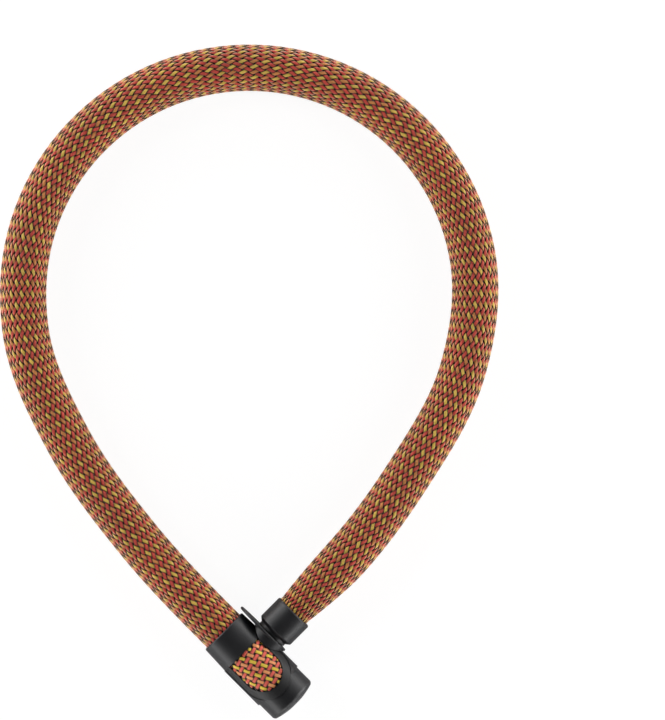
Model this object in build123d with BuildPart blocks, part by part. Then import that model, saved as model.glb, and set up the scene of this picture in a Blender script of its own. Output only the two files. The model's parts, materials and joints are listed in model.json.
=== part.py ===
"""Chain lock: a square-link chain in a woven sleeve, closed into a loop by a lock head and a side plug.

The loop lies flat. X points right, Y points from the lock head to the far side of the loop, Z is up.
The origin is under the middle of the whole lock, on the surface that it lies on.
The head and the plug are drawn in the head's own frame and set in place when they are saved:
its origin is where the plug's axis crosses the head's, X runs to the key end and Y out along the plug.
"""

from build123d import *

import os
from math import asin, cos, radians, sin

# ---- Driving dimensions, millimetres and degrees ----

# Loop: a straight leg at each end, then three arcs, each tighter than the last, up to the top
CROSSING_ANGLE = 45.0
LEG_RADIUS = 490.0
LEG_TURN = 13.6
SHOULDER_RADIUS = 220.0
SHOULDER_TURN = 13.1
TOP_RADIUS = 130.8

# Woven sleeve
SLEEVE_RADIUS = 13.5
SLEEVE_WALL = 0.75
SLEEVE_GAP = 2.3
COLLAR_GAP = 3.0

# Chain
LINK_WIRE = 7.0
LINK_EDGE = 2.0
LINK_SLACK = 0.95
CHAIN_BODIES = 12
LINKS_PER_BODY = 3

# Clearances
FIT = 0.1
RUNNING = 0.3

# Lock head
COLLAR_END = -21.0
COLLAR_MOUTH_RADIUS = 14.9
COLLAR_RADIUS = 15.6
COLLAR_EDGE = 0.8
SHELL_RADIUS = 16.0
CORE_RADIUS = 13.2
CORE_END = 29.3
CAP_START = 23.7
KEY_END = 38.4
KEY_CAP_RADIUS = 15.2
KEY_DOME_RADIUS = 48.0
KEY_CAP_EDGE = 2.5
KEYHOLE_RADIUS = 5.4

# Window
WINDOW_START = -4.2
WINDOW_END = 22.7
WINDOW_HALF = 11.75
BEZEL_END = 28.2
BEZEL_HALF = 15.3
BEZEL_RADIUS = 15.6
INLAY_RADIUS = 15.2
CARRIER_RADIUS = 14.4

# Flange round the socket: an upright leaf that reaches back past the collar
FLANGE_START = -23.6
FLANGE_END = 12.0
FLANGE_HEIGHT = 25.0
FLANGE_FACE = 17.8
FLANGE_THICKNESS = 1.5
FLANGE_EDGE = 0.6
SOCKET_WALL = 1.6

# Plug
STUD_RADIUS = 6.0
STUD_TIP = -8.6
STUD_CHAMFER = 1.5
GROOVE_RADIUS = 4.0
GROOVE_MIDDLE = -5.1
GROOVE_WIDTH = 3.4
NECK_RADIUS = 9.55
NECK_START = 13.7
NECK_END = 20.0
SEAL_START = 16.9
SEAL_WIDTH = 1.4
SEAL_DEPTH = 0.35
CAP_NOSE = 21.7
CAP_END = 36.8
CAP_RADIUS = 11.9
CAP_EDGE = 1.0
CAP_WALL = 1.4
SHANK_RADIUS = 6.4
MOUTH_RADIUS = 10.3
TAPER_LENGTH = 30.0

# Latch and cylinder
PLATE_THICKNESS = 2.8
PLATE_EDGE = 1.4
PLATE_TOP = 8.6
PLATE_BOTTOM = -9.6
FOOT_GAP = 0.2
FOOT_THICKNESS = 1.6
CRANK = 1.5
CRANK_PIN_RADIUS = 1.2
CAM_RADIUS = 4.6
CAM_FRONT_GAP = 0.4
CAM_BACK_GAP = 0.2
CAM_THICKNESS = 1.3
TAIL_RADIUS = 3.1
TAIL_SUNK = 0.6
BARREL_WALL = 1.0
BARREL_RADIUS = 8.0
BARREL_END = 31.3
ROTOR_RADIUS = 6.4
ROTOR_WALL = 1.2
DISC_COUNT = 8
DISC_THICKNESS = 1.6
KEYWAY_WIDTH = 3.0
KEYWAY_HEIGHT = 6.4
BAR_WIDTH = 1.8

# Pins
ANCHOR_PIN_RADIUS = 2.0
ANCHOR_PIN_DEPTH = 3.0
CORE_PIN_EDGE = 2.8
SMALL_PIN_RADIUS = 1.25
CROSS_PIN_RADIUS = 1.5
CROSS_PIN_AT = 20.0

# Eyes that hold the end links
EYE_RADIUS = 10.2
EYE_REACH = 2.0
EYE_THICKNESS = 6.4
EYE_SLACK = 3.0
SHANK_HALF = 5.0
SHANK_END_GAP = 0.8

# ---- Sizes that follow ----

SLEEVE_BORE = SLEEVE_RADIUS - SLEEVE_WALL
WIRE_HALF = LINK_WIRE / 2
EYE_HOLE = WIRE_HALF + EYE_SLACK
HEAD_EYE = COLLAR_END - EYE_REACH
PLUG_EYE = CAP_END + TAPER_LENGTH
HEAD_Z = SHELL_RADIUS
BORE_RADIUS = STUD_RADIUS + RUNNING
BUSH_START = 4.0
BUSH_END = NECK_START - 1.2
BUSH_RADIUS = BORE_RADIUS + 1.4
SOCKET_RADIUS = NECK_RADIUS + RUNNING
LATCH_TRAVEL = 2 * CRANK * sin(radians(45))
PLATE_START = GROOVE_MIDDLE - PLATE_THICKNESS / 2
PLATE_END = GROOVE_MIDDLE + PLATE_THICKNESS / 2
PLATE_LEFT = -(BORE_RADIUS + PLATE_EDGE)
FOOT_START = BORE_RADIUS + FOOT_GAP
FOOT_END = FOOT_START + FOOT_THICKNESS
FOOT_TOP = CRANK + CRANK_PIN_RADIUS + RUNNING + 1.0
CAM_START = FOOT_END + CAM_FRONT_GAP
CAM_END = CAM_START + CAM_THICKNESS
BARREL_START = CAM_END + CAM_BACK_GAP
ANCHOR_BACK = PLATE_LEFT - RUNNING - SHANK_END_GAP
ANCHOR_PIN_AT = ANCHOR_BACK - ANCHOR_PIN_DEPTH
CORE_START = ANCHOR_PIN_AT - CORE_PIN_EDGE

os.makedirs("parts", exist_ok=True)


# ---- The loop's middle line ----

def arcs():
    """Radius, first heading and last heading of each arc of the left half, from the head to the top."""
    first = 90 + CROSSING_ANGLE
    second = first - LEG_TURN
    third = second - SHOULDER_TURN
    return [(LEG_RADIUS, first, second), (SHOULDER_RADIUS, second, third), (TOP_RADIUS, third, 0)]


def arc_step(radius, heading, new_heading):
    """How far a clockwise arc goes in X and in Y."""
    a, b = radians(heading), radians(new_heading)
    return Vector(radius * (sin(a) - sin(b)), radius * (cos(b) - cos(a)), 0)


LEG_WAY = Vector(-sin(radians(CROSSING_ANGLE)), cos(radians(CROSSING_ANGLE)), 0)
ARCS_STEP = sum((arc_step(*arc) for arc in arcs()), Vector())
LEG_LENGTH = ARCS_STEP.X / sin(radians(CROSSING_ANGLE))
LOOP_HEIGHT = LEG_LENGTH * cos(radians(CROSSING_ANGLE)) + ARCS_STEP.Y
HALF_LENGTH = LEG_LENGTH + sum(radius * radians(a - b) for radius, a, b in arcs())

# Centre of the round between the dome of the key end and its side, where the head reaches lowest in the plan
ROUND_RADIUS = KEY_CAP_RADIUS - KEY_CAP_EDGE
ROUND_AT = KEY_END - KEY_DOME_RADIUS + ((KEY_DOME_RADIUS - KEY_CAP_EDGE) ** 2 - ROUND_RADIUS**2) ** 0.5
LOWEST_POINT = (ROUND_AT + ROUND_RADIUS) * cos(radians(CROSSING_ANGLE)) + KEY_CAP_EDGE
HEAD_Y = (LOWEST_POINT - LOOP_HEIGHT - SLEEVE_RADIUS) / 2

FIRST_EYE = -HEAD_EYE
LAST_EYE = 2 * HALF_LENGTH - PLUG_EYE
FIRST_CONTACT = FIRST_EYE + WIRE_HALF + LINK_SLACK
LAST_CONTACT = LAST_EYE - WIRE_HALF - LINK_SLACK
LINK_COUNT = CHAIN_BODIES * LINKS_PER_BODY
PITCH = (LAST_CONTACT - FIRST_CONTACT) / LINK_COUNT

# The widest link whose rounded corners clear the sleeve where it bows past the straight link
LINK_BOW = PITCH**2 / 8 / TOP_RADIUS
LINK_REACH = SLEEVE_BORE - LINK_BOW - FIT - LINK_EDGE
LINK_HALF = LINK_EDGE + (LINK_REACH**2 - (WIRE_HALF - LINK_EDGE) ** 2) ** 0.5


def half_route(length):
    """Point on the left half of the middle line, a length along it from the crossing point."""
    if length <= LEG_LENGTH:
        return LEG_WAY * length
    point = LEG_WAY * LEG_LENGTH
    left = length - LEG_LENGTH
    for radius, heading, last in arcs():
        turn = min(left / radians(1) / radius, heading - last)
        point += arc_step(radius, heading, heading - turn)
        left -= radius * radians(turn)
    return point


def pivot_length(body):
    """Length along the middle line of the pivot at the end of a chain body; body 0 is the head."""
    if body == 0:
        return FIRST_EYE
    if body == CHAIN_BODIES:
        return LAST_EYE
    return FIRST_CONTACT + body * LINKS_PER_BODY * PITCH


def height(length):
    """The chain leaves the head and the plug at their axis and comes down to the surface in one body."""
    first, last = pivot_length(1), pivot_length(CHAIN_BODIES - 1)
    share = max(0, (first - length) / (first - FIRST_EYE), (length - last) / (LAST_EYE - last))
    return SLEEVE_RADIUS + (HEAD_Z - SLEEVE_RADIUS) * share


def route(length):
    """Point on the whole middle line, a length along it from the crossing point."""
    point = half_route(min(length, 2 * HALF_LENGTH - length))
    side = 1 if length <= HALF_LENGTH else -1
    return Vector(side * point.X, HEAD_Y + point.Y, height(length))


HEAD_PLACE = Plane(
    origin=(0, HEAD_Y, HEAD_Z),
    x_dir=(sin(radians(CROSSING_ANGLE)), -cos(radians(CROSSING_ANGLE)), 0),
    z_dir=(0, 0, 1),
).location


def save(piece, name):
    """Write one sub-part, in the lock's frame."""
    piece.label = name
    export_step(piece, f"parts/{name}.step")


def save_in_head(piece, name):
    """Write one sub-part that was drawn in the head's frame."""
    save(piece.moved(HEAD_PLACE), name)


# ---- Shapes that several sub-parts share ----

def barrel_x(start, end, radius, bore=0, mode=Mode.ADD):
    """Add a round bar or a tube along X to the part being built, or take it away."""
    with BuildSketch(Plane.YZ.offset(start)) as section:
        Circle(radius)
        if bore:
            Circle(bore, mode=Mode.SUBTRACT)
    extrude(section.sketch, amount=end - start, mode=mode)


def barrel_y(start, end, radius, bore=0, mode=Mode.ADD):
    """The same along Y."""
    with BuildSketch(Plane.ZX.offset(start)) as section:
        Circle(radius)
        if bore:
            Circle(bore, mode=Mode.SUBTRACT)
    extrude(section.sketch, amount=end - start, mode=mode)


def upright_pin(x, y, bottom, top, radius, mode=Mode.ADD):
    """A round pin along Z, or its hole."""
    with BuildSketch(Plane.XY.offset(bottom)) as section:
        with Locations((x, y)):
            Circle(radius)
    extrude(section.sketch, amount=top - bottom, mode=mode)


def block(x, y, z, mode=Mode.ADD):
    """A box between two limits on each axis."""
    middle = [(low + high) / 2 for low, high in (x, y, z)]
    with Locations(tuple(middle)):
        Box(x[1] - x[0], y[1] - y[0], z[1] - z[0], mode=mode)


def window_shape(half, end, mode=Mode.ADD):
    """Upright prism with the window's outline: square at the collar, round at the key end."""
    straight = end - half - WINDOW_START
    with BuildSketch(Plane.XY) as outline:
        with Locations((WINDOW_START + straight / 2, 0)):
            Rectangle(straight, 2 * half)
        with Locations((end - half, 0)):
            Circle(half)
    extrude(outline.sketch, amount=2 * SHELL_RADIUS, mode=mode)


COVER_PINS = [(-9.5, 6.0, COLLAR_RADIUS), (12.0, 0.0, SHELL_RADIUS), (27.0, 0.0, KEY_CAP_RADIUS)]
COVER_PIN_DEPTH = 3.0
COVER_PIN_SUNK = 0.8


def cover_pin_ends(y, radius):
    """Bottom and top of the spring pin that holds a cover of this radius on the core."""
    bottom = -((radius**2 - y**2) ** 0.5) + COVER_PIN_SUNK
    top = -((CORE_RADIUS**2 - y**2) ** 0.5) + COVER_PIN_DEPTH
    return bottom, top


def cover_pin_holes():
    """Take the cover pins' holes out of the part being built."""
    for x, y, radius in COVER_PINS:
        top = cover_pin_ends(y, radius)[1] + FIT
        upright_pin(x, y, -2 * SHELL_RADIUS, top, SMALL_PIN_RADIUS + FIT / 2, Mode.SUBTRACT)


# ---- Covers of the lock head ----

with BuildPart() as sleeve_collar:
    with BuildSketch(Plane.XY):
        with BuildLine():
            Polyline(
                (COLLAR_END, SLEEVE_RADIUS + RUNNING),
                (COLLAR_END, COLLAR_MOUTH_RADIUS),
                (WINDOW_START - FIT, COLLAR_RADIUS),
                (WINDOW_START - FIT, CORE_RADIUS + FIT),
                (CORE_START, CORE_RADIUS + FIT),
                (CORE_START, SLEEVE_RADIUS + RUNNING),
                close=True,
            )
        make_face()
    revolve(axis=Axis.X)
    fillet(sleeve_collar.edges().filter_by(GeomType.CIRCLE).group_by(Axis.X)[0].sort_by(SortBy.RADIUS)[-1],
           COLLAR_EDGE)
    cover_pin_holes()
    barrel_y(0, 2 * SHELL_RADIUS, SOCKET_RADIUS, mode=Mode.SUBTRACT)
save_in_head(sleeve_collar.part, "sleeve_collar")

with BuildPart() as housing_shell:
    barrel_x(WINDOW_START, CAP_START - FIT, SHELL_RADIUS, CORE_RADIUS + FIT)
    window_shape(BEZEL_HALF, BEZEL_END, Mode.SUBTRACT)
    barrel_y(0, 2 * SHELL_RADIUS, SOCKET_RADIUS, mode=Mode.SUBTRACT)
    cover_pin_holes()
save_in_head(housing_shell.part, "housing_shell")

with BuildPart() as window_bezel:
    barrel_x(WINDOW_START, BEZEL_END + 1, BEZEL_RADIUS, CORE_RADIUS + FIT)
    window_shape(BEZEL_HALF - FIT, BEZEL_END - FIT, Mode.INTERSECT)
    window_shape(WINDOW_HALF, WINDOW_END, Mode.SUBTRACT)
    barrel_y(0, 2 * SHELL_RADIUS, SOCKET_RADIUS, mode=Mode.SUBTRACT)
save_in_head(window_bezel.part, "window_bezel")

with BuildPart() as inlay_carrier:
    barrel_x(WINDOW_START, WINDOW_END, CARRIER_RADIUS, CORE_RADIUS + FIT)
    window_shape(WINDOW_HALF - FIT, WINDOW_END - FIT, Mode.INTERSECT)
    barrel_y(0, CARRIER_RADIUS, BORE_RADIUS, mode=Mode.SUBTRACT)
save_in_head(inlay_carrier.part, "inlay_carrier")

with BuildPart() as window_inlay:
    barrel_x(WINDOW_START, WINDOW_END, INLAY_RADIUS, CARRIER_RADIUS + FIT)
    window_shape(WINDOW_HALF - FIT, WINDOW_END - FIT, Mode.INTERSECT)
save_in_head(window_inlay.part, "window_inlay")

with BuildPart() as key_end_cap:
    slant = asin(KEY_CAP_RADIUS / KEY_DOME_RADIUS)
    dome = [(KEY_END - KEY_DOME_RADIUS * (1 - cos(turn)), KEY_DOME_RADIUS * sin(turn))
            for turn in (0, slant / 2, slant)]
    with BuildSketch(Plane.XY):
        with BuildLine():
            ThreePointArc(*dome)
            Polyline(dome[-1], (CAP_START, KEY_CAP_RADIUS), (CAP_START, 0), dome[0])
        make_face()
    revolve(axis=Axis.X)
    circles = key_end_cap.edges().filter_by(GeomType.CIRCLE)
    rims = circles.filter_by(lambda edge: edge.radius < KEY_DOME_RADIUS - FIT)
    fillet(rims.sort_by(Axis.X)[-1], KEY_CAP_EDGE)
    barrel_x(CAP_START, CORE_END + FIT, CORE_RADIUS + FIT, mode=Mode.SUBTRACT)
    barrel_x(CORE_END, BARREL_END + FIT, BARREL_RADIUS + FIT, mode=Mode.SUBTRACT)
    barrel_x(BARREL_END, KEY_END, KEYHOLE_RADIUS, mode=Mode.SUBTRACT)
    window_shape(BEZEL_HALF, BEZEL_END, Mode.SUBTRACT)
    cover_pin_holes()
save_in_head(key_end_cap.part, "key_end_cap")

with BuildPart() as socket_flange:
    with BuildSketch(Plane.ZX.offset(FLANGE_FACE - FLANGE_THICKNESS)):
        with Locations((0, (FLANGE_START + FLANGE_END) / 2)):
            Ellipse(FLANGE_HEIGHT / 2, (FLANGE_END - FLANGE_START) / 2)
    extrude(amount=FLANGE_THICKNESS)
    fillet(socket_flange.edges(), FLANGE_EDGE)
    barrel_y(SHELL_RADIUS / 2, FLANGE_FACE - FLANGE_EDGE, SOCKET_RADIUS + SOCKET_WALL)
    barrel_x(FLANGE_START, FLANGE_END, SHELL_RADIUS + FIT, mode=Mode.SUBTRACT)
    barrel_y(0, FLANGE_FACE, SOCKET_RADIUS, mode=Mode.SUBTRACT)
save_in_head(socket_flange.part, "socket_flange")

with BuildPart() as cover_pins:
    for pin_x, pin_y, cover_radius in COVER_PINS:
        low, high = cover_pin_ends(pin_y, cover_radius)
        upright_pin(pin_x, pin_y, low, high, SMALL_PIN_RADIUS)
save_in_head(cover_pins.part, "cover_pins")

# ---- Core of the lock head ----

with BuildPart() as lock_core:
    barrel_x(CORE_START, CORE_END, CORE_RADIUS)
    barrel_y(STUD_TIP - RUNNING, 2 * CORE_RADIUS, BORE_RADIUS, mode=Mode.SUBTRACT)
    barrel_y(BUSH_START - FIT, 2 * CORE_RADIUS, BUSH_RADIUS + FIT, mode=Mode.SUBTRACT)
    barrel_y(BUSH_END, 2 * CORE_RADIUS, SOCKET_RADIUS, mode=Mode.SUBTRACT)
    block(
        (PLATE_LEFT - RUNNING, FOOT_END + RUNNING),
        (PLATE_START - RUNNING, PLATE_END + RUNNING),
        (PLATE_BOTTOM - RUNNING, PLATE_TOP + LATCH_TRAVEL + RUNNING),
        Mode.SUBTRACT,
    )
    block(
        (FOOT_START - RUNNING, FOOT_END + RUNNING),
        (PLATE_START, FOOT_TOP + RUNNING),
        (-FOOT_TOP - RUNNING, FOOT_TOP + LATCH_TRAVEL + RUNNING),
        Mode.SUBTRACT,
    )
    barrel_x(FOOT_END, BARREL_START, CAM_RADIUS + RUNNING, mode=Mode.SUBTRACT)
    barrel_x(BARREL_START - FIT, CORE_END, BARREL_RADIUS + FIT, mode=Mode.SUBTRACT)
    block(
        (CORE_START, ANCHOR_BACK + FIT),
        (-SHANK_HALF - FIT, SHANK_HALF + FIT),
        (-EYE_THICKNESS / 2 - FIT, EYE_THICKNESS / 2 + FIT),
        Mode.SUBTRACT,
    )
    eye_half = EYE_THICKNESS / 2 + FIT
    upright_pin(HEAD_EYE, 0, -eye_half, eye_half, EYE_RADIUS + FIT, Mode.SUBTRACT)
    upright_pin(ANCHOR_PIN_AT, 0, -CORE_RADIUS, CORE_RADIUS, ANCHOR_PIN_RADIUS + FIT / 2, Mode.SUBTRACT)
    with BuildSketch(Plane.ZX.offset(-CORE_RADIUS)):
        with Locations((-BARREL_RADIUS, CROSS_PIN_AT)):
            Circle(CROSS_PIN_RADIUS + FIT / 2)
    extrude(amount=2 * CORE_RADIUS, mode=Mode.SUBTRACT)
    cover_pin_holes()
save_in_head(lock_core.part, "lock_core")

with BuildPart() as socket_bush:
    barrel_y(BUSH_START, BUSH_END, BUSH_RADIUS, BORE_RADIUS)
    barrel_x(-CORE_RADIUS, CORE_RADIUS, CORE_RADIUS - FIT, mode=Mode.INTERSECT)
save_in_head(socket_bush.part, "socket_bush")

with BuildPart() as chain_anchor:
    with BuildSketch(Plane.XY):
        with Locations((HEAD_EYE, 0)):
            Circle(EYE_RADIUS)
        with Locations(((HEAD_EYE + ANCHOR_BACK) / 2, 0)):
            Rectangle(ANCHOR_BACK - HEAD_EYE, 2 * SHANK_HALF)
        with Locations((HEAD_EYE, 0)):
            Circle(EYE_HOLE, mode=Mode.SUBTRACT)
        with Locations((ANCHOR_PIN_AT, 0)):
            Circle(ANCHOR_PIN_RADIUS + FIT / 2, mode=Mode.SUBTRACT)
    extrude(amount=EYE_THICKNESS / 2, both=True)
save_in_head(chain_anchor.part, "chain_anchor")

with BuildPart() as anchor_pin:
    upright_pin(ANCHOR_PIN_AT, 0, -CORE_RADIUS + 0.5, CORE_RADIUS - 0.5, ANCHOR_PIN_RADIUS)
save_in_head(anchor_pin.part, "anchor_pin")

CLAMP_WALL = 1.0

with BuildPart() as sleeve_head_end:
    barrel_x(HEAD_EYE + COLLAR_GAP / 2, CORE_START - FIT, SLEEVE_RADIUS, SLEEVE_BORE)
save_in_head(sleeve_head_end.part, "sleeve_head_end")

with BuildPart() as sleeve_clamp_head:
    barrel_x(COLLAR_END + 1, CORE_START - FIT, SLEEVE_BORE - FIT, SLEEVE_BORE - FIT - CLAMP_WALL)
save_in_head(sleeve_clamp_head.part, "sleeve_clamp_head")

# ---- Cylinder and latch ----

ROTOR_START = BARREL_START + BARREL_WALL + FIT
ROTOR_BORE = ROTOR_RADIUS - ROTOR_WALL
DISC_START = ROTOR_START + 1.2
FACE_START = BARREL_END - 1.8
DISC_STEP = (FACE_START - DISC_START) / DISC_COUNT

with BuildPart() as cylinder_housing:
    barrel_x(BARREL_START, BARREL_END, BARREL_RADIUS)
    barrel_x(BARREL_START + BARREL_WALL, BARREL_END, ROTOR_RADIUS + FIT / 2, mode=Mode.SUBTRACT)
    barrel_x(BARREL_START, BARREL_END, TAIL_RADIUS + FIT, mode=Mode.SUBTRACT)
    block(
        (DISC_START, FACE_START),
        (-BAR_WIDTH / 2 - FIT, BAR_WIDTH / 2 + FIT),
        (0, ROTOR_RADIUS + 0.8),
        Mode.SUBTRACT,
    )
    with BuildSketch(Plane.ZX.offset(-CORE_RADIUS)):
        with Locations((-BARREL_RADIUS, CROSS_PIN_AT)):
            Circle(CROSS_PIN_RADIUS + FIT / 2)
    extrude(amount=2 * CORE_RADIUS, mode=Mode.SUBTRACT)
save_in_head(cylinder_housing.part, "cylinder_housing")

with BuildPart() as cylinder_pin:
    pin_half = (CORE_RADIUS**2 - (BARREL_RADIUS + CROSS_PIN_RADIUS) ** 2) ** 0.5 - 0.2
    with BuildSketch(Plane.ZX.offset(-pin_half)):
        with Locations((-BARREL_RADIUS, CROSS_PIN_AT)):
            Circle(CROSS_PIN_RADIUS)
    extrude(amount=2 * pin_half)
save_in_head(cylinder_pin.part, "cylinder_pin")


def keyway(start, end):
    """Take a key slot out of the part being built, from one X to another."""
    with BuildSketch(Plane.YZ.offset(start)) as slot:
        SlotOverall(KEYWAY_HEIGHT, KEYWAY_WIDTH, rotation=90)
    extrude(slot.sketch, amount=end - start, mode=Mode.SUBTRACT)


with BuildPart() as cylinder_rotor:
    barrel_x(ROTOR_START, BARREL_END, ROTOR_RADIUS)
    barrel_x(DISC_START, FACE_START, ROTOR_BORE, mode=Mode.SUBTRACT)
    barrel_x(CAM_END - TAIL_SUNK + FIT, ROTOR_START, TAIL_RADIUS)
    keyway(FACE_START, BARREL_END)
    block(
        (DISC_START, FACE_START),
        (-BAR_WIDTH / 2 - FIT, BAR_WIDTH / 2 + FIT),
        (0, 2 * ROTOR_RADIUS),
        Mode.SUBTRACT,
    )
save_in_head(cylinder_rotor.part, "cylinder_rotor")

with BuildPart() as locking_discs:
    for number in range(DISC_COUNT):
        disc_at = DISC_START + (number + 0.5) * DISC_STEP - DISC_THICKNESS / 2
        barrel_x(disc_at, disc_at + DISC_THICKNESS, ROTOR_BORE - FIT)
        keyway(disc_at, disc_at + DISC_THICKNESS)
save_in_head(locking_discs.part, "locking_discs")

with BuildPart() as side_bar:
    block((DISC_START + FIT, FACE_START - FIT), (-BAR_WIDTH / 2, BAR_WIDTH / 2), (ROTOR_BORE, ROTOR_RADIUS))
    barrel_x(DISC_START, FACE_START, ROTOR_RADIUS - FIT, mode=Mode.INTERSECT)
save_in_head(side_bar.part, "side_bar")

# The crank pin stands 45 degrees below the level when the latch is open, and 45 above when it is shut
CRANK_Y = CRANK * cos(radians(45))
CRANK_Z = -CRANK * sin(radians(45))

with BuildPart() as rotor_cam:
    barrel_x(CAM_START, CAM_END, CAM_RADIUS)
    barrel_x(CAM_END - TAIL_SUNK, CAM_END, TAIL_RADIUS + FIT / 2, mode=Mode.SUBTRACT)
    with BuildSketch(Plane.YZ.offset(FOOT_START)):
        with Locations((CRANK_Y, CRANK_Z)):
            Circle(CRANK_PIN_RADIUS)
    extrude(amount=CAM_START - FOOT_START)
save_in_head(rotor_cam.part, "rotor_cam")

with BuildPart() as latch_plate:
    block((PLATE_LEFT, FOOT_END), (PLATE_START, PLATE_END), (PLATE_BOTTOM, PLATE_TOP))
    barrel_y(PLATE_START, PLATE_END, STUD_RADIUS + RUNNING, mode=Mode.SUBTRACT)
    block((FOOT_START, FOOT_END), (PLATE_START, FOOT_TOP), (-FOOT_TOP, FOOT_TOP))
    slot_end = CRANK + CRANK_PIN_RADIUS + RUNNING
    slot_start = CRANK_Y - CRANK_PIN_RADIUS - RUNNING
    slot_height = 2 * (CRANK_PIN_RADIUS + RUNNING)
    with BuildSketch(Plane.YZ.offset(FOOT_START)):
        with Locations(((slot_start + slot_end) / 2, CRANK_Z)):
            SlotOverall(slot_end - slot_start, slot_height)
    extrude(amount=FOOT_THICKNESS, mode=Mode.SUBTRACT)
save_in_head(latch_plate.part, "latch_plate")

# ---- Plug ----

CAP_PIN_AT = CAP_NOSE + 1.4
CAP_PIN_SUNK = 0.8
CAP_PIN_TOP = SHANK_RADIUS + 1.5
CAP_CAVITY = CAP_NOSE + 3.4

with BuildPart() as plug_bolt:
    with BuildSketch(Plane.XY):
        with BuildLine():
            Polyline(
                (0, STUD_TIP),
                (STUD_RADIUS - STUD_CHAMFER, STUD_TIP),
                (STUD_RADIUS, STUD_TIP + STUD_CHAMFER * 0.7),
                (STUD_RADIUS, GROOVE_MIDDLE - GROOVE_WIDTH / 2),
                (GROOVE_RADIUS, GROOVE_MIDDLE - GROOVE_WIDTH / 2),
                (GROOVE_RADIUS, GROOVE_MIDDLE + GROOVE_WIDTH / 2),
                (STUD_RADIUS, GROOVE_MIDDLE + GROOVE_WIDTH / 2),
                (STUD_RADIUS, NECK_START),
                (SHANK_RADIUS, NECK_START),
                (SHANK_RADIUS, PLUG_EYE),
                (0, PLUG_EYE),
                close=True,
            )
        make_face()
    revolve(axis=Axis.Y)
    with BuildSketch(Plane.YZ):
        with Locations((PLUG_EYE, 0)):
            Circle(EYE_RADIUS)
    extrude(amount=EYE_THICKNESS / 2, both=True)
    with BuildSketch(Plane.YZ):
        with Locations((PLUG_EYE, 0)):
            Circle(EYE_HOLE)
    extrude(amount=SHANK_RADIUS, both=True, mode=Mode.SUBTRACT)
    flat = 2 * EYE_RADIUS
    for side in (-1, 1):
        block(
            sorted((side * EYE_THICKNESS / 2, side * flat)),
            (PLUG_EYE - EYE_RADIUS, PLUG_EYE + EYE_RADIUS),
            (-flat, flat),
            Mode.SUBTRACT,
        )
    upright_pin(0, CAP_PIN_AT, -flat, flat, SMALL_PIN_RADIUS + FIT / 2, Mode.SUBTRACT)
save_in_head(plug_bolt.part, "plug_bolt")

SEAL_SEAT = NECK_RADIUS - 3 * SEAL_DEPTH

with BuildPart() as plug_neck:
    barrel_y(NECK_START, NECK_END, NECK_RADIUS, SHANK_RADIUS + FIT)
    barrel_y(SEAL_START, SEAL_START + SEAL_WIDTH, NECK_RADIUS + 1, SEAL_SEAT, Mode.SUBTRACT)
save_in_head(plug_neck.part, "plug_neck")

with BuildPart() as neck_seal:
    seal_end = SEAL_START + SEAL_WIDTH
    barrel_y(SEAL_START + FIT, seal_end - FIT, NECK_RADIUS - SEAL_DEPTH, SEAL_SEAT + FIT)
save_in_head(neck_seal.part, "neck_seal")

with BuildPart() as plug_cap:
    with BuildSketch(Plane.XY):
        with BuildLine():
            Polyline(
                (SHANK_RADIUS + FIT, NECK_END),
                (NECK_RADIUS + RUNNING, NECK_END),
                (CAP_RADIUS, CAP_NOSE),
                (CAP_RADIUS, CAP_END),
                (CAP_RADIUS - CAP_WALL, CAP_END),
                (CAP_RADIUS - CAP_WALL, CAP_CAVITY),
                (SHANK_RADIUS + FIT, CAP_CAVITY),
                close=True,
            )
        make_face()
    revolve(axis=Axis.Y)
    rims = plug_cap.edges().filter_by(GeomType.CIRCLE).filter_by(lambda rim: rim.radius == CAP_RADIUS)
    fillet(rims, CAP_EDGE)
    upright_pin(0, CAP_PIN_AT, -CAP_RADIUS, CAP_PIN_TOP + FIT, SMALL_PIN_RADIUS + FIT / 2, Mode.SUBTRACT)
save_in_head(plug_cap.part, "plug_cap")

with BuildPart() as cap_pin:
    upright_pin(0, CAP_PIN_AT, -CAP_RADIUS + CAP_PIN_SUNK, CAP_PIN_TOP, SMALL_PIN_RADIUS)
save_in_head(cap_pin.part, "cap_pin")

TAPER_START = CAP_CAVITY + 1
TAPER_TOP = PLUG_EYE - SLEEVE_GAP / 2
TAPER_WAYS = [(0.12, 1), (0.05, 1)]
MOUTH_BORE = MOUTH_RADIUS - SLEEVE_WALL

with BuildPart() as sleeve_plug_end:
    with BuildSketch(Plane.XY):
        with BuildLine():
            outer = Spline(
                (MOUTH_RADIUS, CAP_END),
                (SLEEVE_RADIUS, TAPER_TOP),
                tangents=TAPER_WAYS,
            )
            inner = Spline(
                (MOUTH_BORE, CAP_END),
                (SLEEVE_BORE, TAPER_TOP),
                tangents=TAPER_WAYS,
            )
            Polyline(outer @ 0, (MOUTH_RADIUS, TAPER_START), (MOUTH_BORE, TAPER_START), inner @ 0)
            Line(outer @ 1, inner @ 1)
        make_face()
    revolve(axis=Axis.Y)
save_in_head(sleeve_plug_end.part, "sleeve_plug_end")

with BuildPart() as sleeve_clamp_plug:
    clamp_radius = MOUTH_BORE - FIT
    barrel_y(TAPER_START, CAP_END - 2, clamp_radius, clamp_radius - CLAMP_WALL)
save_in_head(sleeve_clamp_plug.part, "sleeve_clamp_plug")

# ---- Chain and sleeve, one section for each chain body ----

with BuildPart() as link:
    with BuildSketch():
        SlotOverall(PITCH + 2 * (LINK_SLACK + LINK_WIRE), 2 * LINK_HALF)
        SlotOverall(PITCH + 2 * LINK_SLACK, 2 * (LINK_HALF - LINK_WIRE), mode=Mode.SUBTRACT)
    extrude(amount=WIRE_HALF, both=True)
    fillet(link.edges().filter_by(Axis.Z, reverse=True), LINK_EDGE)


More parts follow.
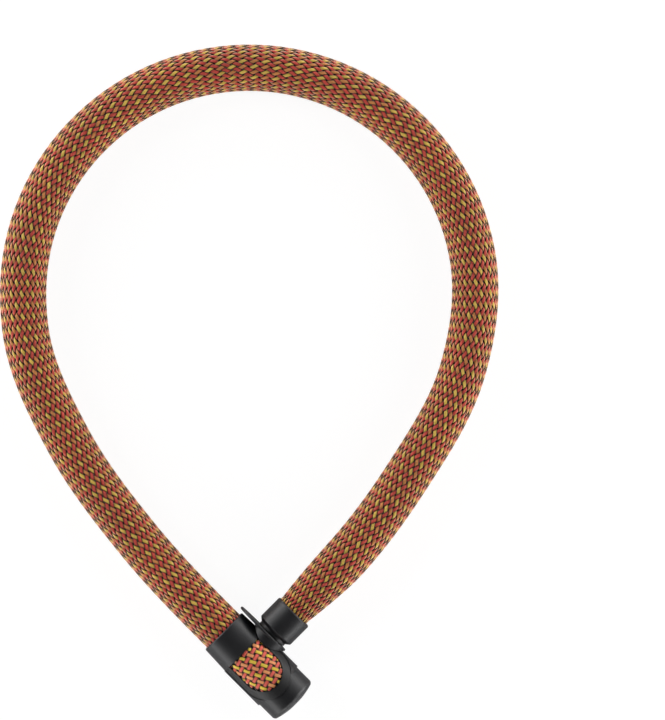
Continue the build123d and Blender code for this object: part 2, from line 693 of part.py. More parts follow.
def link_place(number):
    """Where a link lies: along the chord between its two contact points, upright and flat in turn."""
    start = route(FIRST_CONTACT + number * PITCH)
    end = route(FIRST_CONTACT + (number + 1) * PITCH)
    along = (end - start).normalized()
    side = Vector(0, 0, 1).cross(along).normalized()
    normal = side if number % 2 == 0 else along.cross(side)
    return Plane(origin=(start + end) / 2, x_dir=along, z_dir=normal).location


for body in range(1, CHAIN_BODIES + 1):
    with BuildPart() as chain_links:
        for number in range((body - 1) * LINKS_PER_BODY, body * LINKS_PER_BODY):
            add(link.part.moved(link_place(number)))
    save(chain_links.part, f"chain_links_{body:02d}")

    with BuildPart() as sleeve:
        first_gap = COLLAR_GAP if body == 1 else SLEEVE_GAP
        start = pivot_length(body - 1) + first_gap / 2
        end = pivot_length(body) - SLEEVE_GAP / 2
        with BuildLine() as middle_line:
            path = ThreePointArc(route(start), route((start + end) / 2), route(end))
        with BuildSketch(Plane(origin=path @ 0, z_dir=path % 0)):
            Circle(SLEEVE_RADIUS)
            Circle(SLEEVE_BORE, mode=Mode.SUBTRACT)
        sweep(path=path)
    save(sleeve.part, f"sleeve_{body:02d}")
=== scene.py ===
"""Looks of a sleeved chain lock: woven sleeve and inlay, covers and metal, built round its frame."""

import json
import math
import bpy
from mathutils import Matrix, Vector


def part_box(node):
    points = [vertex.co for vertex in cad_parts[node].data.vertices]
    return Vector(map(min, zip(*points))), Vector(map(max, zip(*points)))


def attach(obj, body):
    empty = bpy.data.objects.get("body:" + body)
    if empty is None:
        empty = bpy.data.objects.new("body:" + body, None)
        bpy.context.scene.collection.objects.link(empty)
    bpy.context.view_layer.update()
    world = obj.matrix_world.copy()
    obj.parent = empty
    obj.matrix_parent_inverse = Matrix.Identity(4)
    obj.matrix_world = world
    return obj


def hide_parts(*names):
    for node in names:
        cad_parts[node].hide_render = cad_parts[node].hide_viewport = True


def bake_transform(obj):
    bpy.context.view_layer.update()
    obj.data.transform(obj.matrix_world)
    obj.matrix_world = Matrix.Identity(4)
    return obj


bl_info = {
    "name": "Sleeved chain lock",
    "version": (1, 0, 0),
    "blender": (4, 5, 0),
    "location": "View3D > Sidebar > Chain lock",
    "description": "Builds the woven sleeve, the inlay, the finishes and the studio of a sleeved chain lock",
    "category": "Object",
}

import bmesh
import bpy
import numpy as np
from mathutils import Vector

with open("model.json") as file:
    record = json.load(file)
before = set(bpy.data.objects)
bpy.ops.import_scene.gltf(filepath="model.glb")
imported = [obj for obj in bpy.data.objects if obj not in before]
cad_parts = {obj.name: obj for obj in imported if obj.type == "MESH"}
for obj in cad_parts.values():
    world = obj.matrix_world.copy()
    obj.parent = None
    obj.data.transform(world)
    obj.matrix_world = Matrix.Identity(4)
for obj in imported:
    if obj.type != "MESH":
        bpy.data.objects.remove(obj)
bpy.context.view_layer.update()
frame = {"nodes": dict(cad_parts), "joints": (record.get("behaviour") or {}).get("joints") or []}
NODES = frame["nodes"]
PIVOTS = [joint for joint in frame["joints"] if joint["name"].startswith("chain_pivot")]

MM = 0.001


# ---- Where the head lies: its own frame, X to the key end, Y out along the plug ----

HEAD_X = Vector((math.sqrt(0.5), -math.sqrt(0.5), 0))
HEAD_Y = Vector((math.sqrt(0.5), math.sqrt(0.5), 0))


def middle(node):
    """Middle of a CAD node's box."""
    low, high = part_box(node)
    return (low + high) / 2


def span(node, direction):
    """Lowest and highest reach of a CAD node along a direction."""
    reach = [vertex.co.dot(direction) for vertex in NODES[node].data.vertices]
    return min(reach), max(reach)


def along(node, direction):
    """Middle of a CAD node's reach along a direction."""
    low, high = span(node, direction)
    return (low + high) / 2


# The crossing of the two axes: the plug's fixes it along the head, the rotor's fixes it along the plug
HEAD_ORIGIN = HEAD_X * along("plug_bolt", HEAD_X) + HEAD_Y * along("cylinder_rotor", HEAD_Y)


# ---- Colours ----

def linear(red, green, blue):
    """A colour written as 0 to 255, as scene linear."""
    return tuple(((share / 255 + 0.055) / 1.055) ** 2.4 if share > 10 else share / 255 / 12.92
                 for share in (red, green, blue))


def colour_property(name, description, colour):
    """A colour that a user can change."""
    return bpy.props.FloatVectorProperty(name=name, description=description, subtype="COLOR", size=3,
                                         min=0, max=1, default=colour)


def length_property(name, description, value):
    """A length in metres that a user can change."""
    return bpy.props.FloatProperty(name=name, description=description, unit="LENGTH", min=0, default=value)


def strength_property(name, description, value):
    """A strength of light that a user can change."""
    return bpy.props.FloatProperty(name=name, description=description, min=0, default=value)


class SleeveSettings(bpy.types.PropertyGroup):
    """The woven sleeve."""

    strands: bpy.props.IntProperty(name="Strands", description="Strands that run each way round", min=4,
                                   default=26)
    row: length_property("Row", "Length along the sleeve from one row of crossings to the next", 3.26 * MM)
    width: length_property("Strand width", "Width of one strand where the sleeve is full size", 2.3 * MM)
    thickness: length_property("Strand thickness", "Thickness of one strand", 0.75 * MM)
    lift: length_property("Lift", "How far a strand rises and falls at a crossing", 0.45 * MM)
    gold: colour_property("Gold", "Every other strand of the first way", linear(214, 176, 70))
    tan: colour_property("Tan", "The strands between the gold ones", linear(200, 124, 58))
    red: colour_property("Red", "The strands of the other way", linear(196, 62, 44))
    # The lining's near-black colour is painted shade for the gaps between strands
    lining: colour_property("Lining", "Tube under the strands", linear(14, 8, 7))


class InlaySettings(bpy.types.PropertyGroup):
    """The woven inlay in the window of the head."""

    spacing: length_property("Spacing", "Distance from one strand to the next", 3.28 * MM)
    width: length_property("Strand width", "Width of one strand", 2.5 * MM)
    thickness: length_property("Strand thickness", "Thickness of one strand", 0.5 * MM)
    lift: length_property("Lift", "How far a strand rises and falls at a crossing", 0.2 * MM)
    gold: colour_property("Gold", "Every other strand of the first way", linear(240, 205, 62))
    peach: colour_property("Peach", "The strands between the gold ones", linear(244, 160, 98))
    coral: colour_property("Coral", "The strands of the other way", linear(226, 92, 74))


class CoverSettings(bpy.types.PropertyGroup):
    """The moulded covers."""

    plastic: colour_property("Plastic", "Colour of the covers", linear(27, 27, 29))
    bezel: colour_property("Bezel", "Colour of the window frame", linear(20, 20, 21))


class StageSettings(bpy.types.PropertyGroup):
    """Camera, floor and lamps."""

    camera_height: length_property("Camera height", "Height of the camera over the floor", 3.0)
    camera_right: length_property("Camera to the right", "How far it stands right of the lock", 0.0481)
    camera_far: length_property("Camera to the far side", "How far it stands past the middle", 0.0123)
    view_height: length_property("View height", "Height of what the camera sees, at the lock", 0.4176)
    low_light: strength_property("Light near the floor", "Strength of the room's light from the sides", 5.5)
    high_light: strength_property("Light from above", "Strength of the room's light from overhead", 0.0)


# ---- Materials ----

class Graph:
    """A material's nodes, linked in the order in which they are made."""

    def __init__(self, name):
        self.material = bpy.data.materials.new(name)
        self.material.use_nodes = True
        self.nodes = self.material.node_tree.nodes
        self.links = self.material.node_tree.links
        self.shader = self.nodes["Principled BSDF"]
        self.output = self.nodes["Material Output"]

    def link(self, start, end):
        """Link two sockets."""
        self.links.new(start, end)

    def math(self, operation, first, second=0.0):
        """A Math node."""
        node = self.nodes.new("ShaderNodeMath")
        node.operation = operation
        for socket, value in zip(node.inputs, (first, second)):
            if isinstance(value, bpy.types.NodeSocket):
                self.links.new(value, socket)
            else:
                socket.default_value = value
        return node.outputs[0]

    def mix(self, share, first, second, blend="MIX"):
        """A colour Mix node."""
        node = self.nodes.new("ShaderNodeMix")
        node.data_type = "RGBA"
        node.blend_type = blend
        for socket, value in ((node.inputs[0], share), (node.inputs[6], first), (node.inputs[7], second)):
            if isinstance(value, bpy.types.NodeSocket):
                self.links.new(value, socket)
            elif isinstance(value, (int, float)):
                socket.default_value = value
            else:
                socket.default_value = (*value[:3], 1)
        return node.outputs[2]

    def range(self, value, low, high):
        """Map 0 to 1 onto low to high."""
        node = self.nodes.new("ShaderNodeMapRange")
        self.links.new(value, node.inputs["Value"])
        node.inputs["To Min"].default_value = low
        node.inputs["To Max"].default_value = high
        return node.outputs["Result"]

    def fade(self, value, start, end, low, high):
        """Go smoothly from low to high while a value goes from start to end."""
        node = self.nodes.new("ShaderNodeMapRange")
        node.interpolation_type = "SMOOTHSTEP"
        self.links.new(value, node.inputs["Value"])
        for socket, number in zip(node.inputs[1:5], (start, end, low, high)):
            socket.default_value = number
        return node.outputs["Result"]

    def noise(self, vector, scale, detail=3.0):
        """A Noise texture's value."""
        node = self.nodes.new("ShaderNodeTexNoise")
        self.links.new(vector, node.inputs["Vector"])
        node.inputs["Scale"].default_value = scale
        node.inputs["Detail"].default_value = detail
        return node.outputs["Fac"]

    def bump(self, height, strength, distance):
        """Send a height to the shader's normal."""
        node = self.nodes.new("ShaderNodeBump")
        node.inputs["Strength"].default_value = strength
        node.inputs["Distance"].default_value = distance
        self.links.new(height, node.inputs["Height"])
        self.links.new(node.outputs["Normal"], self.shader.inputs["Normal"])

    def set(self, **values):
        """Set the shader's own sockets."""
        for name, value in values.items():
            socket = self.shader.inputs[name.replace("_", " ")]
            if isinstance(value, bpy.types.NodeSocket):
                self.links.new(value, socket)
            elif hasattr(value, "__len__"):
                socket.default_value = (*value[:3], 1)
            else:
                socket.default_value = value


def yarn_material(name):
    """Woven yarn: fine filaments along each strand, soft sheen, small changes of tone, painted shade at the
    strands' edges and crossings, and a painted pale highlight at grazing angles.
    """
    graph = Graph(name)
    colour = graph.nodes.new("ShaderNodeAttribute")
    colour.attribute_name = "yarn_colour"
    place = graph.nodes.new("ShaderNodeAttribute")
    place.attribute_name = "yarn_place"
    stretch = graph.nodes.new("ShaderNodeMapping")
    stretch.inputs["Scale"].default_value = (0.18, 9.0, 1.0)
    graph.link(place.outputs["Vector"], stretch.inputs["Vector"])
    filaments = graph.noise(stretch.outputs["Vector"], 1.0, 4.0)
    patches = graph.noise(place.outputs["Vector"], 0.16, 2.0)
    split = graph.nodes.new("ShaderNodeSeparateXYZ")
    graph.link(place.outputs["Vector"], split.inputs[0])
    depth = graph.nodes.new("ShaderNodeAttribute")
    depth.attribute_name = "yarn_depth"
    # Painted shade: the colour darkens towards each strand's edges and where the strand dips under a
    # crossing strand; the edge mask also sets the sheen weight
    painted_edge_shade = graph.fade(graph.math("ABSOLUTE", split.outputs["Y"]), start=0.55, end=0.88, low=1.0, high=0.02)
    painted_crossing_shade = graph.fade(depth.outputs["Fac"], start=0.2, end=0.5, low=0.02, high=1.0)
    tone = graph.math("MULTIPLY", graph.range(filaments, 0.54, 1.2), graph.range(patches, 0.76, 1.2))
    # light: the painted shade times the random tone of filaments and patches
    light = graph.math("MULTIPLY", graph.math("MULTIPLY", painted_edge_shade, painted_crossing_shade), tone)
    # Painted highlight: the colour pales towards a light peach where the surface turns away from the camera
    facing = graph.nodes.new("ShaderNodeLayerWeight")
    painted_grazing_highlight = graph.fade(facing.outputs["Facing"], start=0.25, end=0.85, low=0.0, high=0.6)
    colour_with_painted_highlight = graph.mix(painted_grazing_highlight, colour.outputs["Color"], linear(255, 205, 158))
    graph.set(Base_Color=graph.mix(1.0, colour_with_painted_highlight, combine(graph, light), "MULTIPLY"),
              Roughness=graph.range(filaments, 0.5, 0.8), Sheen_Weight=painted_edge_shade,
              Sheen_Roughness=0.3, Sheen_Tint=(1.0, 0.9, 0.8))
    graph.bump(filaments, 0.55, 0.25 * MM)
    return graph.material


def combine(graph, value):
    """A grey of this value, as a colour."""
    node = graph.nodes.new("ShaderNodeCombineColor")
    for socket in node.inputs:
        graph.link(value, socket)
    return node.outputs[0]


def lining_material(colour):
    """Knitted tube under the strands, near black so that the gaps between strands show painted shade."""
    graph = Graph("lining_cloth")
    place = graph.nodes.new("ShaderNodeTexCoord").outputs["Object"]
    knit = graph.noise(place, 1400.0, 2.0)
    dark = [share * 0.5 for share in colour]
    light = [share * 1.3 for share in colour]
    graph.set(Base_Color=graph.mix(knit, dark, light), Roughness=0.95)
    graph.bump(knit, 0.4, 0.2 * MM)
    return graph.material


def plastic_material(name, colour, roughness):
    """Moulded plastic with a fine spark-eroded skin."""
    graph = Graph(name)
    place = graph.nodes.new("ShaderNodeTexCoord").outputs["Object"]
    skin = graph.noise(place, 2600.0, 4.0)
    clouds = graph.noise(place, 90.0, 3.0)
    dark = [share * 0.85 for share in colour]
    light = [share * 1.25 for share in colour]
    graph.set(Base_Color=graph.mix(clouds, dark, light),
              Roughness=graph.range(clouds, roughness - 0.05, roughness + 0.06), IOR=1.5)
    graph.bump(skin, 0.16, 0.05 * MM)
    return graph.material


def metal_material(name, colour, roughness):
    """Ground or plated metal with fine scratches."""
    graph = Graph(name)
    place = graph.nodes.new("ShaderNodeTexCoord").outputs["Object"]
    grain = graph.noise(place, 900.0, 5.0)
    graph.set(Base_Color=graph.mix(grain, [share * 0.8 for share in colour], colour), Metallic=1.0,
              Roughness=graph.range(grain, roughness - 0.08, roughness + 0.12))
    graph.bump(grain, 0.12, 0.05 * MM)
    return graph.material


def rubber_material():
    """Matte black seal."""
    graph = Graph("seal_rubber")
    place = graph.nodes.new("ShaderNodeTexCoord").outputs["Object"]
    skin = graph.noise(place, 1500.0, 3.0)
    graph.set(Base_Color=graph.mix(skin, linear(10, 10, 10), linear(22, 22, 22)), Roughness=0.8)
    graph.bump(skin, 0.2, 0.05 * MM)
    return graph.material


def paint(node, material):
    """Give a CAD node its material."""
    mesh = NODES[node].data
    mesh.materials.clear()
    mesh.materials.append(material)


# ---- The sleeve's middle line ----

class MiddleLine:
    """A smooth line through the chain's pivots, from inside the collar to inside the plug's cap."""

    samples = 48

    def __init__(self):
        head_depth = span("sleeve_head_end", HEAD_X)
        cap_depth = span("sleeve_plug_end", HEAD_Y)
        points = [np.array(joint["pos_m"]) for joint in PIVOTS]
        first = points[0] + np.array(HEAD_X) * (head_depth[1] - Vector(points[0]).dot(HEAD_X))
        last = points[-1] + np.array(HEAD_Y) * (cap_depth[0] - Vector(points[-1]).dot(HEAD_Y))
        points = [first, *points, last]
        steps = [b - a for a, b in zip(points, points[1:])]
        lengths = [np.linalg.norm(step) for step in steps]
        ways = [-np.array(HEAD_X)]
        for index in range(1, len(points) - 1):
            before, after = steps[index - 1] / lengths[index - 1], steps[index] / lengths[index]
            way = before * lengths[index] + after * lengths[index - 1]
            way[2] = 0
            ways.append(way / np.linalg.norm(way))
        ways.append(-np.array(HEAD_Y))
        ways[1], ways[-2] = ways[0], ways[-1]
        self.points = self.draw(points, ways, lengths)
        gaps = np.linalg.norm(np.diff(self.points, axis=0), axis=1)
        self.reach = np.concatenate([[0], np.cumsum(gaps)])
        self.ends = [self.reach[index * self.samples] for index in range(len(points))]

    def draw(self, points, ways, lengths):
        """Points along cubic spans that meet each pivot along its way."""
        share = np.linspace(0, 1, self.samples, endpoint=False)[:, None]
        leaving, arriving = 2 * share**3 - 3 * share**2 + 1, 3 * share**2 - 2 * share**3
        first_way, last_way = share**3 - 2 * share**2 + share, share**3 - share**2
        pieces = []
        for a, b, start, end, length in zip(points, points[1:], ways, ways[1:], lengths):
            bend = length * (1 + (1 - float(start @ end)) / 6)
            pieces.append(leaving * a + first_way * start * bend + arriving * b + last_way * end * bend)
        return np.concatenate([*pieces, points[-1][None]])

    def at(self, lengths):
        """Centre, direction, side and up at each length along the line."""
        def point(reach):
            return np.stack([np.interp(reach, self.reach, column) for column in self.points.T], axis=-1)

        small = 0.4 * MM
        low = np.clip(lengths - small, 0, self.reach[-1])
        high = np.clip(lengths + small, 0, self.reach[-1])
        along = point(high) - point(low)
        along /= np.linalg.norm(along, axis=-1, keepdims=True)
        side = np.cross([0, 0, 1], along)
        side /= np.linalg.norm(side, axis=-1, keepdims=True)
        return point(lengths), along, side, np.cross(along, side)


SLEEVE_LINE = MiddleLine()
SLEEVE_RADIUS = (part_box("sleeve_06")[1].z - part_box("sleeve_06")[0].z) / 2
LINE_END = SLEEVE_LINE.reach[-1]
# The sleeve draws in from before the last pivot to just short of the line's end
TAPER_START = SLEEVE_LINE.ends[-2] - 14 * MM
TAPER_END = LINE_END - 12 * MM
TAPER_POWER = 1.7
MOUTH_RADIUS = 10.3 * MM

RINGS_PER_ROW = 6
CROWN_POWER = 0.8
CREST_FLATNESS = 0.35
CREST_SPREAD = 0.05
STRAND_SHIFT = 7.3
LINING_RING = 2.5 * MM
LINING_OVERLAP = 0.1 * MM


def sleeve_radius(lengths):
    """Outside radius of the sleeve: full size, and drawn in where it goes into the plug's cap."""
    share = np.clip((lengths - TAPER_START) / (TAPER_END - TAPER_START), 0, 1)
    eased = share**TAPER_POWER
    return SLEEVE_RADIUS + (MOUTH_RADIUS - SLEEVE_RADIUS) * eased


def closed_tube(segments, cuts):
    """A capped tube along Z, 1 long and 1 in radius round the origin, with rings cut between its ends."""
    bm = bmesh.new()
    bmesh.ops.create_cone(bm, cap_ends=True, segments=segments, radius1=1, radius2=1, depth=1)
    sides = [edge for edge in bm.edges if abs(edge.verts[0].co.z - edge.verts[1].co.z) > 0.5]
    bmesh.ops.subdivide_edges(bm, edges=sides, cuts=cuts, use_grid_fill=True)
    return bm


def to_mesh(bm, name):
    """A named mesh with what a bmesh holds, which is freed."""
    mesh = bpy.data.meshes.new(name)
    bm.to_mesh(mesh)
    bm.free()
    return mesh


def add_object(name, data):
    """An object in the scene."""
    piece = bpy.data.objects.new(name, data)
    bpy.context.scene.collection.objects.link(piece)
    return piece


def crown(thick, thickness):
    """Height over a strand's middle plane, for a cross section that is flatter than a circle."""
    return np.sign(thick) * np.abs(thick) ** CROWN_POWER * thickness / 2


def strand_template(steps):
    """One eight-sided closed strand along Z, with a ring at every step."""
    return to_mesh(closed_tube(8, steps - 1), "strand_template")


def coordinates(mesh):
    """A mesh's vertices as an array."""
    values = np.zeros(len(mesh.vertices) * 3)
    mesh.vertices.foreach_get("co", values)
    return values.reshape(-1, 3)


def repeated(template, count, name):
    """A mesh that holds a template's faces a number of times."""
    bm = bmesh.new()
    for _ in range(count):
        bm.from_mesh(template)
    for face in bm.faces:
        face.smooth = True
    return to_mesh(bm, name)


def finish_yarn(name, mesh, points, places, depths, colours, material):
    """Fill a yarn mesh with vertices, places, heights in the weave and colours, and make its object."""
    mesh.vertices.foreach_set("co", points.astype(np.float32).ravel())
    # yarn_depth also sets where the yarn material paints shade under crossings
    mesh.attributes.new("yarn_depth", "FLOAT", "POINT").data.foreach_set("value", depths.astype(np.float32))
    mesh.attributes.new("yarn_place", "FLOAT_VECTOR", "POINT").data.foreach_set(
        "vector", places.astype(np.float32).ravel())
    shades = np.concatenate([colours, np.ones((len(colours), 1))], axis=1)
    mesh.color_attributes.new("yarn_colour", "FLOAT_COLOR", "POINT").data.foreach_set(
        "color", shades.astype(np.float32).ravel())
    mesh.materials.append(material)
    mesh.update()
    return add_object(name, mesh)


def tone_of(number, spread):
    """A steady small change of brightness for each strand."""
    return 1 + spread * math.sin(number * 12.9898 + 4.1)


def braid(settings, start, end, name, material):
    """The strands of one stretch of sleeve, each a flat yarn that goes over and under in turn."""
    steps = max(4, round((end - start) / settings.row * RINGS_PER_ROW))
    template = strand_template(steps)
    shape = coordinates(template)
    across, thick = shape[:, 0], shape[:, 1]
    reach = start + (shape[:, 2] + 0.5) * (end - start)
    centre, along, side, up = SLEEVE_LINE.at(reach)
    outside = sleeve_radius(reach)
    scale = outside / SLEEVE_RADIUS
    turn = math.pi / settings.strands / settings.row
    points, places, depths, colours = [], [], [], []
    for way in (1, -1):
        slant = np.arctan(turn * outside)
        half = settings.width * scale / 2
        # A strand rises and falls along the crossing strands, so its height runs askew across it
        askew = reach + way * across * half * np.cos(slant) / np.tan(2 * slant)
        wave = way * np.cos(math.pi * askew / settings.row)
        lift = wave * (1 + CREST_FLATNESS - CREST_FLATNESS * wave**2)
        radius = outside - settings.thickness / 2 - settings.lift + settings.lift * lift
        width = half * (1 + CREST_SPREAD * lift)
        for number in range(settings.strands):
            angle = 2 * math.pi * number / settings.strands + way * turn * reach
            out = side * np.cos(angle)[:, None] + up * np.sin(angle)[:, None]
            around = up * np.cos(angle)[:, None] - side * np.sin(angle)[:, None]
            widthways = around * np.cos(slant)[:, None] - along * (way * np.sin(slant))[:, None]
            height = radius + crown(thick, settings.thickness)
            points.append(centre + out * height[:, None] + widthways * (across * width)[:, None])
            strand = number + (0 if way == 1 else settings.strands)
            places.append(np.stack([reach / MM, across, np.full(len(reach), strand * STRAND_SHIFT)], axis=1))
            depths.append((lift + 1) / 2)
            base = settings.red if way == 1 else (settings.gold if number % 2 else settings.tan)
            colours.append(np.tile(np.array(base) * tone_of(strand, 0.08), (len(reach), 1)))
    mesh = repeated(template, 2 * settings.strands, name)
    bpy.data.meshes.remove(template)
    lots = (np.concatenate(lot) for lot in (points, places, depths, colours))
    return finish_yarn(name, mesh, *lots, material)


def lining(settings, start, end, name, material):
    """The plain tube under one stretch of strands, whose dark colour is painted shade in the gaps between
    them.
    """
    bm = closed_tube(40, max(2, round((end - start) / LINING_RING)))
    for face in bm.faces:
        face.smooth = len(face.verts) == 4
    mesh = to_mesh(bm, name)
    shape = coordinates(mesh)
    reach = start + (shape[:, 2] + 0.5) * (end - start)
    centre, _, side, up = SLEEVE_LINE.at(reach)
    radius = sleeve_radius(reach) - settings.thickness - 2 * settings.lift + LINING_OVERLAP
    points = centre + side * (shape[:, 0] * radius)[:, None] + up * (shape[:, 1] * radius)[:, None]
    mesh.vertices.foreach_set("co", points.astype(np.float32).ravel())
    mesh.materials.append(material)
    mesh.update()
    return add_object(name, mesh)


def bend_across(piece, reach):
    """Bake a stretch of sleeve's placement into its mesh; the line's centre and way at the pivot are worked
    out but not used.
    """
    centre, along, _, _ = SLEEVE_LINE.at(np.array([reach]))
    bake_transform(piece)


class LOCK_OT_sleeve(bpy.types.Operator):
    """Weave the sleeve round the chain, one stretch across each chain pivot"""

    bl_idname = "lock.sleeve"
    bl_label = "Woven sleeve"

    def execute(self, context):
        settings = context.scene.lock_sleeve
        yarn = yarn_material("sleeve_yarn")
        dark = lining_material(settings.lining)
        ends = SLEEVE_LINE.ends
        cuts = [0, *((a + b) / 2 for a, b in zip(ends[1:-2], ends[2:-1])), LINE_END]
        for number, joint in enumerate(PIVOTS):
            start, end = cuts[number], cuts[number + 1]
            woven = braid(settings, start, end, f"woven_sleeve_{number:02d}", yarn)
            inner = lining(settings, start, end, f"sleeve_lining_{number:02d}", dark)
            for piece in (woven, inner):
                bend_across(piece, ends[number + 1])
            stands_for = ["sleeve_plug_end" if joint["child"] == "plug" else f"sleeve_{number + 1:02d}"]
            if number == 0:
                stands_for.append("sleeve_head_end")
            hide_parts(*stands_for)
        return {"FINISHED"}


# ---- Window inlay ----

WINDOW_LOW, WINDOW_HIGH = (reach - HEAD_ORIGIN.dot(HEAD_X) for reach in span("window_inlay", HEAD_X))
WINDOW_HALF = (span("window_inlay", HEAD_Y)[1] - span("window_inlay", HEAD_Y)[0]) / 2
INLAY_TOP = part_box("window_inlay")[1].z - middle("lock_core").z
INLAY_SLANT = (math.radians(28.4), math.radians(102.3))
INLAY_MIDDLE = np.array([10.7 * MM, -3.3 * MM])
WINDOW_ROOM = 0.1 * MM
INLAY_REACH = 30 * MM
INLAY_STEP = 0.1 * MM
FEWEST_STEPS = 8
INLAY_STRANDS = range(-9, 10)


def in_window(x, around):
    """Whether places on the inlay, along the head and round it, lie inside the window."""
    y = INLAY_TOP * np.sin(around / INLAY_TOP)
    room = WINDOW_HALF - WINDOW_ROOM
    round_end = np.hypot(np.maximum(x - (WINDOW_HIGH - WINDOW_HALF), 0), y) < room
    return (x > WINDOW_LOW + WINDOW_ROOM) & round_end


def inlay_strand(settings, way, number, template_shape):
    """Points of one inlay strand, their reach along it and their heights, or None outside the window."""
    slant, other = INLAY_SLANT[way], INLAY_SLANT[1 - way]
    along = np.array([math.cos(slant), math.sin(slant)])
    normal = np.array([-along[1], along[0]])
    other_normal = np.array([-math.sin(other), math.cos(other)])
    centre = INLAY_MIDDLE
    reach = np.arange(-INLAY_REACH, INLAY_REACH, INLAY_STEP)
    line = centre + normal * (number * settings.spacing) + along * reach[:, None]
    shown = reach[in_window(line[:, 0], line[:, 1])]
    if len(shown) < FEWEST_STEPS:
        return None
    across, thick = template_shape[:, 0], template_shape[:, 1]
    share = template_shape[:, 2] + 0.5
    reach = shown[0] + share * (shown[-1] - shown[0])
    flat = centre + normal * (number * settings.spacing + across * settings.width / 2)[:, None]
    flat = flat + along * reach[:, None]
    line = centre + normal * (number * settings.spacing) + along * reach[:, None]
    crossing = (line - centre) @ other_normal / settings.spacing
    lift = np.cos(math.pi * (crossing + number)) * (1 if way == 0 else -1)
    middle_height = INLAY_TOP - settings.thickness / 2 - settings.lift + settings.lift * lift
    height = middle_height + crown(thick, settings.thickness)
    turn = flat[:, 1] / INLAY_TOP
    head_x, head_y = np.array(HEAD_X), np.array(HEAD_Y)
    points = (head_x * flat[:, :1] + head_y * (height * np.sin(turn))[:, None]
              + np.array([0, 0, 1]) * (height * np.cos(turn))[:, None])
    return points, reach, (lift + 1) / 2


class LOCK_OT_inlay(bpy.types.Operator):
    """Weave the cloth in the window of the head"""

    bl_idname = "lock.inlay"
    bl_label = "Window inlay"

    def execute(self, context):
        settings = context.scene.lock_inlay
        template = strand_template(40)
        shape = coordinates(template)
        points, places, depths, colours = [], [], [], []
        for way in (0, 1):
            for number in INLAY_STRANDS:
                strand = inlay_strand(settings, way, number, shape)
                if strand is None:
                    continue
                points.append(strand[0])
                shift = np.full(len(shape), STRAND_SHIFT * number + way)
                places.append(np.stack([strand[1] / MM, shape[:, 0], shift], axis=1))
                depths.append(strand[2])
                base = settings.coral if way else (settings.peach if number % 2 else settings.gold)
                colours.append(np.tile(np.array(base) * tone_of(number + 20 * way, 0.06), (len(shape), 1)))
        mesh = repeated(template, len(points), "woven_inlay")
        bpy.data.meshes.remove(template)
        place = np.array([0, 0, middle("lock_core").z]) + np.array(HEAD_ORIGIN)
        lots = (np.concatenate(lot) for lot in (places, depths, colours))
        woven = finish_yarn("woven_inlay", mesh, np.concatenate(points) + place, *lots,
                            yarn_material("inlay_yarn"))
        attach(woven, "lock_head")
        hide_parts("window_inlay")
        return {"FINISHED"}


# ---- Covers and metal ----

class LOCK_OT_covers(bpy.types.Operator):
    """Give the moulded covers of the head and the plug their skin"""

    bl_idname = "lock.covers"
    bl_label = "Moulded covers"

    def execute(self, context):
        settings = context.scene.lock_covers
        satin = plastic_material("head_plastic", settings.plastic, 0.42)
        matte = plastic_material("bezel_plastic", settings.bezel, 0.5)
        for node in ("sleeve_collar", "housing_shell", "key_end_cap", "socket_flange", "plug_cap",
                     "plug_neck"):
            paint(node, satin)
        for node in ("window_bezel", "inlay_carrier"):
            paint(node, matte)
        paint("neck_seal", rubber_material())
        return {"FINISHED"}


METALS = {
    "hardened_steel": (linear(128, 128, 130), 0.38, ("lock_core", "chain_anchor", "latch_plate",
                                                     "plug_bolt")),
    "plated_steel": (linear(170, 170, 168), 0.3, ("cylinder_housing", "cylinder_rotor", "rotor_cam",
                                                  "side_bar")),
    "pin_steel": (linear(150, 150, 150), 0.28, ("anchor_pin", "cylinder_pin", "cap_pin", "cover_pins",
                                                "sleeve_clamp_head", "sleeve_clamp_plug")),
    "turned_brass": (linear(206, 170, 96), 0.3, ("locking_discs", "socket_bush")),
}


class LOCK_OT_metal(bpy.types.Operator):
    """Give the chain and the inside of the lock their metals"""

    bl_idname = "lock.metal"
    bl_label = "Metal parts"

    def execute(self, context):
        for name, (colour, roughness, nodes) in METALS.items():
            material = metal_material(name, colour, roughness)
            for node in nodes:
                paint(node, material)
        chain = metal_material("chain_steel", linear(142, 142, 140), 0.34)
        for node in NODES:
            if node.startswith("chain_links"):
                paint(node, chain)
        return {"FINISHED"}


# ---- Stage ----

CLIP_START = 0.05
FLOOR_HALF = 6
FLOOR_GAP = 0.2 * MM
FLOOR_GLOW = 1.14
GLOW_SHARE = 0.8
HIGH_LIGHT_AT = 0.5


def lamp(name, place, target, size, power):
    """A large soft lamp that points at a target."""
    light = bpy.data.lights.new(name, "AREA")
    light.shape = "RECTANGLE"
    light.size, light.size_y = size
    light.energy = power
    holder = add_object(name, light)
    holder.location = place
    holder.rotation_euler = (Vector(target) - Vector(place)).to_track_quat("-Z", "Y").to_euler()


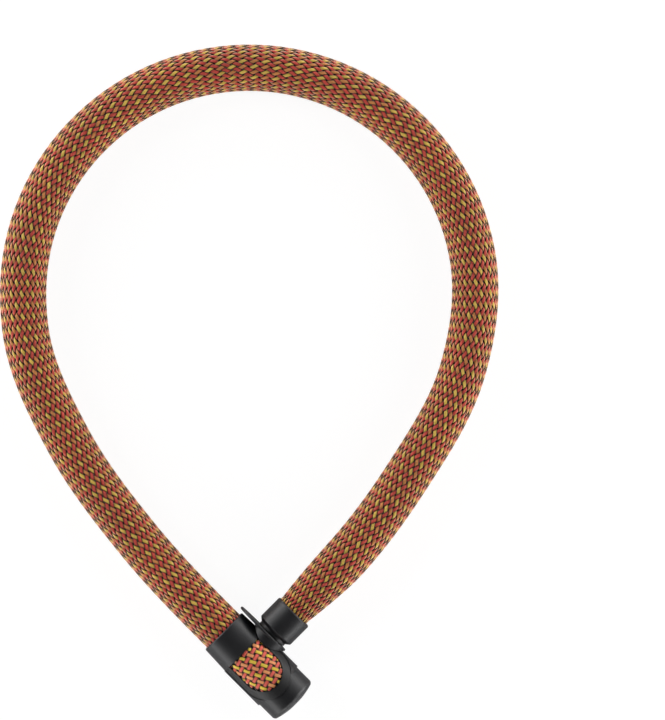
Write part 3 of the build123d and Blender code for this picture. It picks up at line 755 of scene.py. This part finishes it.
class LOCK_OT_stage(bpy.types.Operator):
    """Set up the pale floor, the soft lamps and the camera over the lock"""

    bl_idname = "lock.stage"
    bl_label = "Stage"

    def execute(self, context):
        settings = context.scene.lock_stage
        camera = bpy.data.cameras.new("camera")
        camera.lens = camera.sensor_width * settings.camera_height / settings.view_height
        camera.clip_start = CLIP_START
        holder = add_object("camera", camera)
        holder.location = (settings.camera_right, settings.camera_far, settings.camera_height)
        context.scene.camera = holder

        bm = bmesh.new()
        bmesh.ops.create_grid(bm, x_segments=1, y_segments=1, size=FLOOR_HALF)
        mesh = to_mesh(bm, "floor")
        floor = add_object("floor", mesh)
        floor.location.z = -FLOOR_GAP
        mesh.materials.append(self.floor_material())

        lamp("lamp_left", (-1.3, 0.5, 0.55), (0, 0, 0), (0.5, 1.6), 12)
        lamp("lamp_right", (1.4, 0.1, 0.5), (0, 0, 0), (0.4, 1.6), 11)
        world = bpy.data.worlds.new("studio")
        world.use_nodes = True
        self.light_world(world.node_tree, settings)
        context.scene.world = world
        context.scene.view_settings.view_transform = "Standard"
        return {"FINISHED"}

    def light_world(self, tree, settings):
        """A pale room that is brighter near the floor than overhead, and white where the camera sees it."""
        background = tree.nodes["Background"]
        place = tree.nodes.new("ShaderNodeTexCoord")
        split = tree.nodes.new("ShaderNodeSeparateXYZ")
        height = tree.nodes.new("ShaderNodeMapRange")
        height.inputs["From Min"].default_value = 0.0
        height.inputs["From Max"].default_value = HIGH_LIGHT_AT
        height.inputs["To Min"].default_value = settings.low_light
        height.inputs["To Max"].default_value = settings.high_light
        seen = tree.nodes.new("ShaderNodeLightPath")
        either = tree.nodes.new("ShaderNodeMath")
        either.operation = "MAXIMUM"
        choose = tree.nodes.new("ShaderNodeMix")
        choose.inputs["B"].default_value = 1.0
        tree.links.new(place.outputs["Generated"], split.inputs[0])
        tree.links.new(split.outputs["Z"], height.inputs["Value"])
        tree.links.new(seen.outputs["Is Camera Ray"], either.inputs[0])
        tree.links.new(seen.outputs["Is Transmission Ray"], either.inputs[1])
        tree.links.new(either.outputs[0], choose.inputs["Factor"])
        tree.links.new(height.outputs["Result"], choose.inputs["A"])
        tree.links.new(choose.outputs["Result"], background.inputs["Strength"])
        background.inputs["Color"].default_value = (1, 1, 1, 1)

    def floor_material(self):
        """White to the camera, with the lock's soft shadow."""
        graph = Graph("floor")
        graph.set(Base_Color=(0.86, 0.86, 0.86), Roughness=0.9)
        glow = graph.nodes.new("ShaderNodeEmission")
        glow.inputs["Strength"].default_value = FLOOR_GLOW
        seen = graph.nodes.new("ShaderNodeLightPath")
        blend = graph.nodes.new("ShaderNodeMixShader")
        graph.link(graph.math("MULTIPLY", seen.outputs["Is Camera Ray"], GLOW_SHARE), blend.inputs[0])
        graph.link(graph.shader.outputs[0], blend.inputs[1])
        graph.link(glow.outputs[0], blend.inputs[2])
        graph.link(blend.outputs[0], graph.output.inputs["Surface"])
        return graph.material


class LOCK_PT_panel(bpy.types.Panel):
    """Buttons for each group of pieces"""

    bl_label = "Chain lock"
    bl_idname = "LOCK_PT_panel"
    bl_space_type = "VIEW_3D"
    bl_region_type = "UI"
    bl_category = "Chain lock"

    def draw(self, context):
        for operator in OPERATORS:
            self.layout.operator(operator.bl_idname)


GROUPS = {
    "lock_sleeve": SleeveSettings,
    "lock_inlay": InlaySettings,
    "lock_covers": CoverSettings,
    "lock_stage": StageSettings,
}
OPERATORS = (LOCK_OT_sleeve, LOCK_OT_inlay, LOCK_OT_covers, LOCK_OT_metal, LOCK_OT_stage)


def register():
    """Register the classes and hang the settings on the scene."""
    for cls in (*GROUPS.values(), *OPERATORS, LOCK_PT_panel):
        bpy.utils.register_class(cls)
    for name, group in GROUPS.items():
        setattr(bpy.types.Scene, name, bpy.props.PointerProperty(type=group))


def unregister():
    """Take the settings and the classes away."""
    for name in GROUPS:
        delattr(bpy.types.Scene, name)
    for cls in reversed((*GROUPS.values(), *OPERATORS, LOCK_PT_panel)):
        bpy.utils.unregister_class(cls)


def main():
    """Build every piece."""
    register()
    for operator in OPERATORS:
        group, name = operator.bl_idname.split(".")
        getattr(getattr(bpy.ops, group), name)()


if __name__ == "__main__":
    main()
